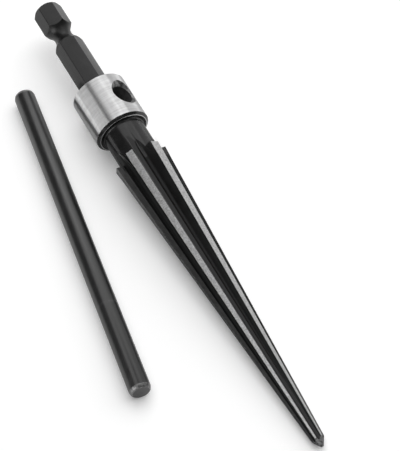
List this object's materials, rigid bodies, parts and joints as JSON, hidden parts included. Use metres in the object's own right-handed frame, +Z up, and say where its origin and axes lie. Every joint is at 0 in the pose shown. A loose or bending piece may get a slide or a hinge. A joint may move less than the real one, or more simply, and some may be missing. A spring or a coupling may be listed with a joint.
{
  "type": "t-handle taper reamer",
  "caption": "Hand taper reamer with a straight-fluted cone, neck, cross-drilled collar and hex shank, with its handle bar drawn out and laid beside it.",
  "frame": {"origin": "middle of the pair's box in plan, on the surface that the body and the bar lie on", "axes": "+Z up; +X along the body in plan, from the hex shank's end to the tip; +Y across, away from the bar"},
  "size_m": [0.1316, 0.0368, 0.0142],
  "materials": {
    "reamer_body": "hardened tool steel with a black oxide finish, ground bright on the collar and on the six lands",
    "tommy_bar": "drawn round steel bar with a smooth black oxide finish"
  },
  "bodies": {
    "root": {"reamer_body": "reamer_body", "tommy_bar": "tommy_bar"}
  },
  "joints": []
}
